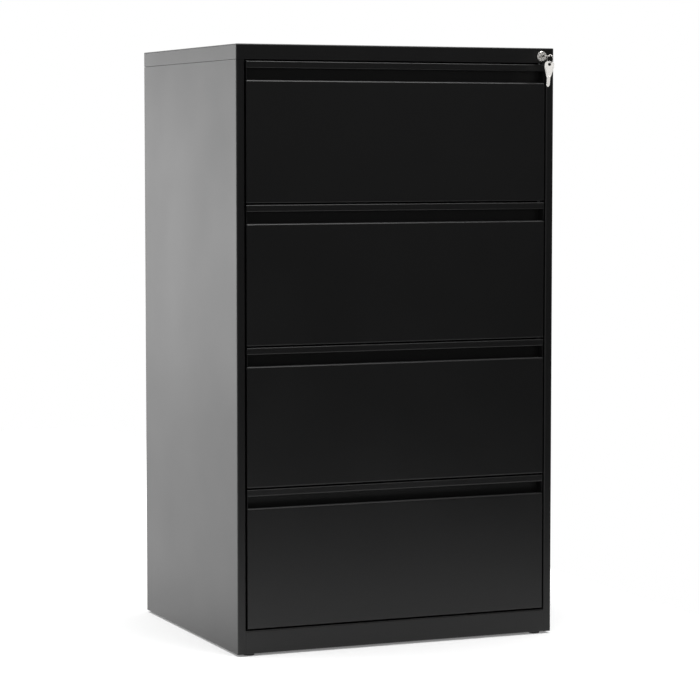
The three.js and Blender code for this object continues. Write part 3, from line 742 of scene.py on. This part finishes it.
def make_world():
    """A studio that is white behind the object and to its left, and dark behind the camera."""
    world = bpy.data.worlds.new("studio")
    world.use_nodes = True
    bpy.context.scene.world = world
    nodes = Nodes(world.node_tree)
    direction = nodes.add("ShaderNodeTexCoord").outputs["Generated"]
    parts = nodes.add("ShaderNodeSeparateXYZ", {0: direction})
    front = spread(nodes, parts.outputs["X"], STUDIO_FRONT, 0.0, STUDIO_FRONT_FADES)
    behind = spread(nodes, parts.outputs["Y"], 0.0, STUDIO_BACK, STUDIO_BACK_FADES)
    left = spread(nodes, parts.outputs["X"], STUDIO_LEFT, 0.0, STUDIO_LEFT_FADES)
    room = larger(nodes, larger(nodes, front, behind), left)
    direct, mirrored = ray_kinds(nodes)
    soft = mix(nodes, "FLOAT", mirrored, SOFT_LIGHT, room)
    level = mix(nodes, "FLOAT", direct, soft, 1.0)
    backdrop = nodes.add("ShaderNodeBackground", {"Color": WHITE, "Strength": level})
    output = nodes.add("ShaderNodeOutputWorld")
    nodes.tree.links.new(backdrop.outputs[0], output.inputs["Surface"])


def make_lamp(name, size, place, target, radiance):
    """A soft box that faces its target and looks equally bright whatever its size."""
    data = bpy.data.lights.new(name, "AREA")
    data.shape = "RECTANGLE"
    data.size, data.size_y = size
    data.energy = radiance * math.pi * size[0] * size[1]
    lamp = bpy.data.objects.new(name, data)
    lamp.location = place
    lamp.rotation_euler = (Vector(target) - Vector(place)).to_track_quat("-Z", "Y").to_euler()
    bpy.context.scene.collection.objects.link(lamp)


def make_floor():
    """A pale floor that takes shadows. It glows a little for the camera and for reflections."""
    mesh = bpy.data.meshes.new("floor")
    left, right = FLOOR_X
    front, back = FLOOR_Y
    corners = [(left, front, 0), (right, front, 0), (right, back, 0), (left, back, 0)]
    mesh.from_pydata(corners, [], [(0, 1, 2, 3)])
    floor = bpy.data.objects.new("floor", mesh)
    bpy.context.scene.collection.objects.link(floor)
    material, nodes = new_material("floor")
    diffuse = nodes.add("ShaderNodeBsdfDiffuse", {"Color": FLOOR_COLOUR})
    direct, mirrored = ray_kinds(nodes)
    place = object_place(nodes)
    parts = nodes.add("ShaderNodeSeparateXYZ", {0: place})
    rising = spread(nodes, parts.outputs["Y"], FLOOR_GLOW, FLOOR_GLOW_MIRRORED, GLOW_RISES)
    strength = mix(nodes, "FLOAT", mirrored, FLOOR_GLOW, rising)
    glow = nodes.add("ShaderNodeEmission", {"Color": WHITE, "Strength": strength})
    lifted = nodes.add("ShaderNodeAddShader", {0: diffuse.outputs[0], 1: glow.outputs[0]})
    seen = larger(nodes, direct, mirrored)
    shaders = {0: seen, 1: diffuse.outputs[0], 2: lifted.outputs[0]}
    surface(nodes, nodes.add("ShaderNodeMixShader", shaders))
    mesh.materials.append(material)


def make_studio():
    """The camera, the floor and the light. Two of the lamps are there for the lock and its keys."""
    middle = middle_of(CAD_BOX)
    key = middle_of(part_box("key"))
    make_camera()
    make_world()
    make_floor()
    level_aim = (middle[0], middle[1], SIDE_BOX_PLACE[2])
    make_lamp("side_box", SIDE_BOX_SIZE, SIDE_BOX_PLACE, level_aim, SIDE_BOX_RADIANCE)
    make_lamp("top_box", TOP_BOX_SIZE, TOP_BOX_PLACE, middle, TOP_BOX_RADIANCE)
    make_lamp("front_box", FRONT_BOX_SIZE, FRONT_BOX_PLACE, middle, FRONT_BOX_RADIANCE)
    make_lamp("key_box", KEY_BOX_SIZE, KEY_BOX_PLACE, key, KEY_BOX_RADIANCE)
    make_lamp("lock_box", LOCK_BOX_SIZE, LOCK_BOX_PLACE, key, LOCK_BOX_RADIANCE)
    bpy.context.scene.view_settings.view_transform = "Standard"


finishes = make_materials()
make_studio()
dress_nodes(finishes)
make_keys(finishes)
make_split_ring(finishes)
make_back_details(finishes)
make_threads(finishes)
for drawer_number in range(1, DRAWER_COUNT + 1):
    make_bearings(drawer_number, finishes)
    make_floor_beads(drawer_number, finishes)
    make_slide_rivets(drawer_number, finishes)
